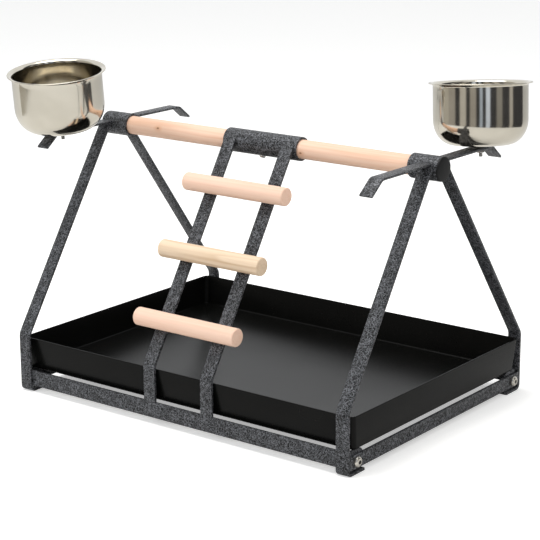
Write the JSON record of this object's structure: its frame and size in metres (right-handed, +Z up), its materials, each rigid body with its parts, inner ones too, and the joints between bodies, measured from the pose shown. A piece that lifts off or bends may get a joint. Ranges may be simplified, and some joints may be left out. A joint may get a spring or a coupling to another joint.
{
  "type": "parrot play stand",
  "caption": "Table-top perch stand for a parrot, with a ladder, a slide-out tray and a bowl at each end.",
  "frame": {"origin": "on the floor under the middle of the frame", "axes": "+X along the perch to the right bowl, +Y to the back, away from the ladder, +Z up"},
  "size_m": [0.514, 0.326, 0.3507],
  "materials": {
    "frame_coat": "hammered black and silver coat",
    "perch_wood": "sanded pale hardwood",
    "rung_wood": "sanded pale hardwood",
    "tray_plastic": "semi-gloss black",
    "bowl_steel": "polished stainless steel",
    "cap_plastic": "smooth charcoal",
    "fastener_steel": "bright zinc plate"
  },
  "bodies": {
    "stand": {"left_front_leg": "frame_coat", "left_back_leg": "frame_coat", "left_side_rail": "frame_coat", "left_sleeve": "frame_coat", "left_front_arm": "frame_coat", "left_back_arm": "frame_coat", "left_end_cap": "cap_plastic", "right_front_leg": "frame_coat", "right_back_leg": "frame_coat", "right_side_rail": "frame_coat", "right_sleeve": "frame_coat", "right_front_arm": "frame_coat", "right_back_arm": "frame_coat", "right_end_cap": "cap_plastic", "front_rail": "frame_coat", "back_rail": "frame_coat", "corner_bolts": "fastener_steel", "corner_nuts": "fastener_steel", "rung_bottom": "rung_wood", "rung_middle": "rung_wood", "rung_top": "rung_wood", "ladder_left_strip": "frame_coat", "ladder_right_strip": "frame_coat", "rung_screws": "fastener_steel", "perch": "perch_wood", "ladder_sleeve": "frame_coat", "perch_screw": "fastener_steel"},
    "tray": {"tray": "tray_plastic"},
    "left_bowl": {"left_bowl": "bowl_steel", "left_bowl_bolt": "fastener_steel", "left_bowl_nut": "fastener_steel"},
    "right_bowl": {"right_bowl": "bowl_steel", "right_bowl_bolt": "fastener_steel", "right_bowl_nut": "fastener_steel"}
  },
  "joints": [
    {"name": "tray_slide", "type": "slide", "parent": "stand", "child": "tray", "axis": [1, 0, 0], "range_m": [-0.3, 0.3]},
    {"name": "left_bowl_turn", "type": "hinge", "parent": "stand", "child": "left_bowl", "pos_m": [-0.2078, -0.0952, 0.27964], "axis": [0.0279, -0.1201, 0.9924], "continuous": true},
    {"name": "right_bowl_turn", "type": "hinge", "parent": "stand", "child": "right_bowl", "pos_m": [0.2078, 0.0806, 0.2819], "axis": [-0.0802, 0.0785, 0.9937], "continuous": true}
  ]
}
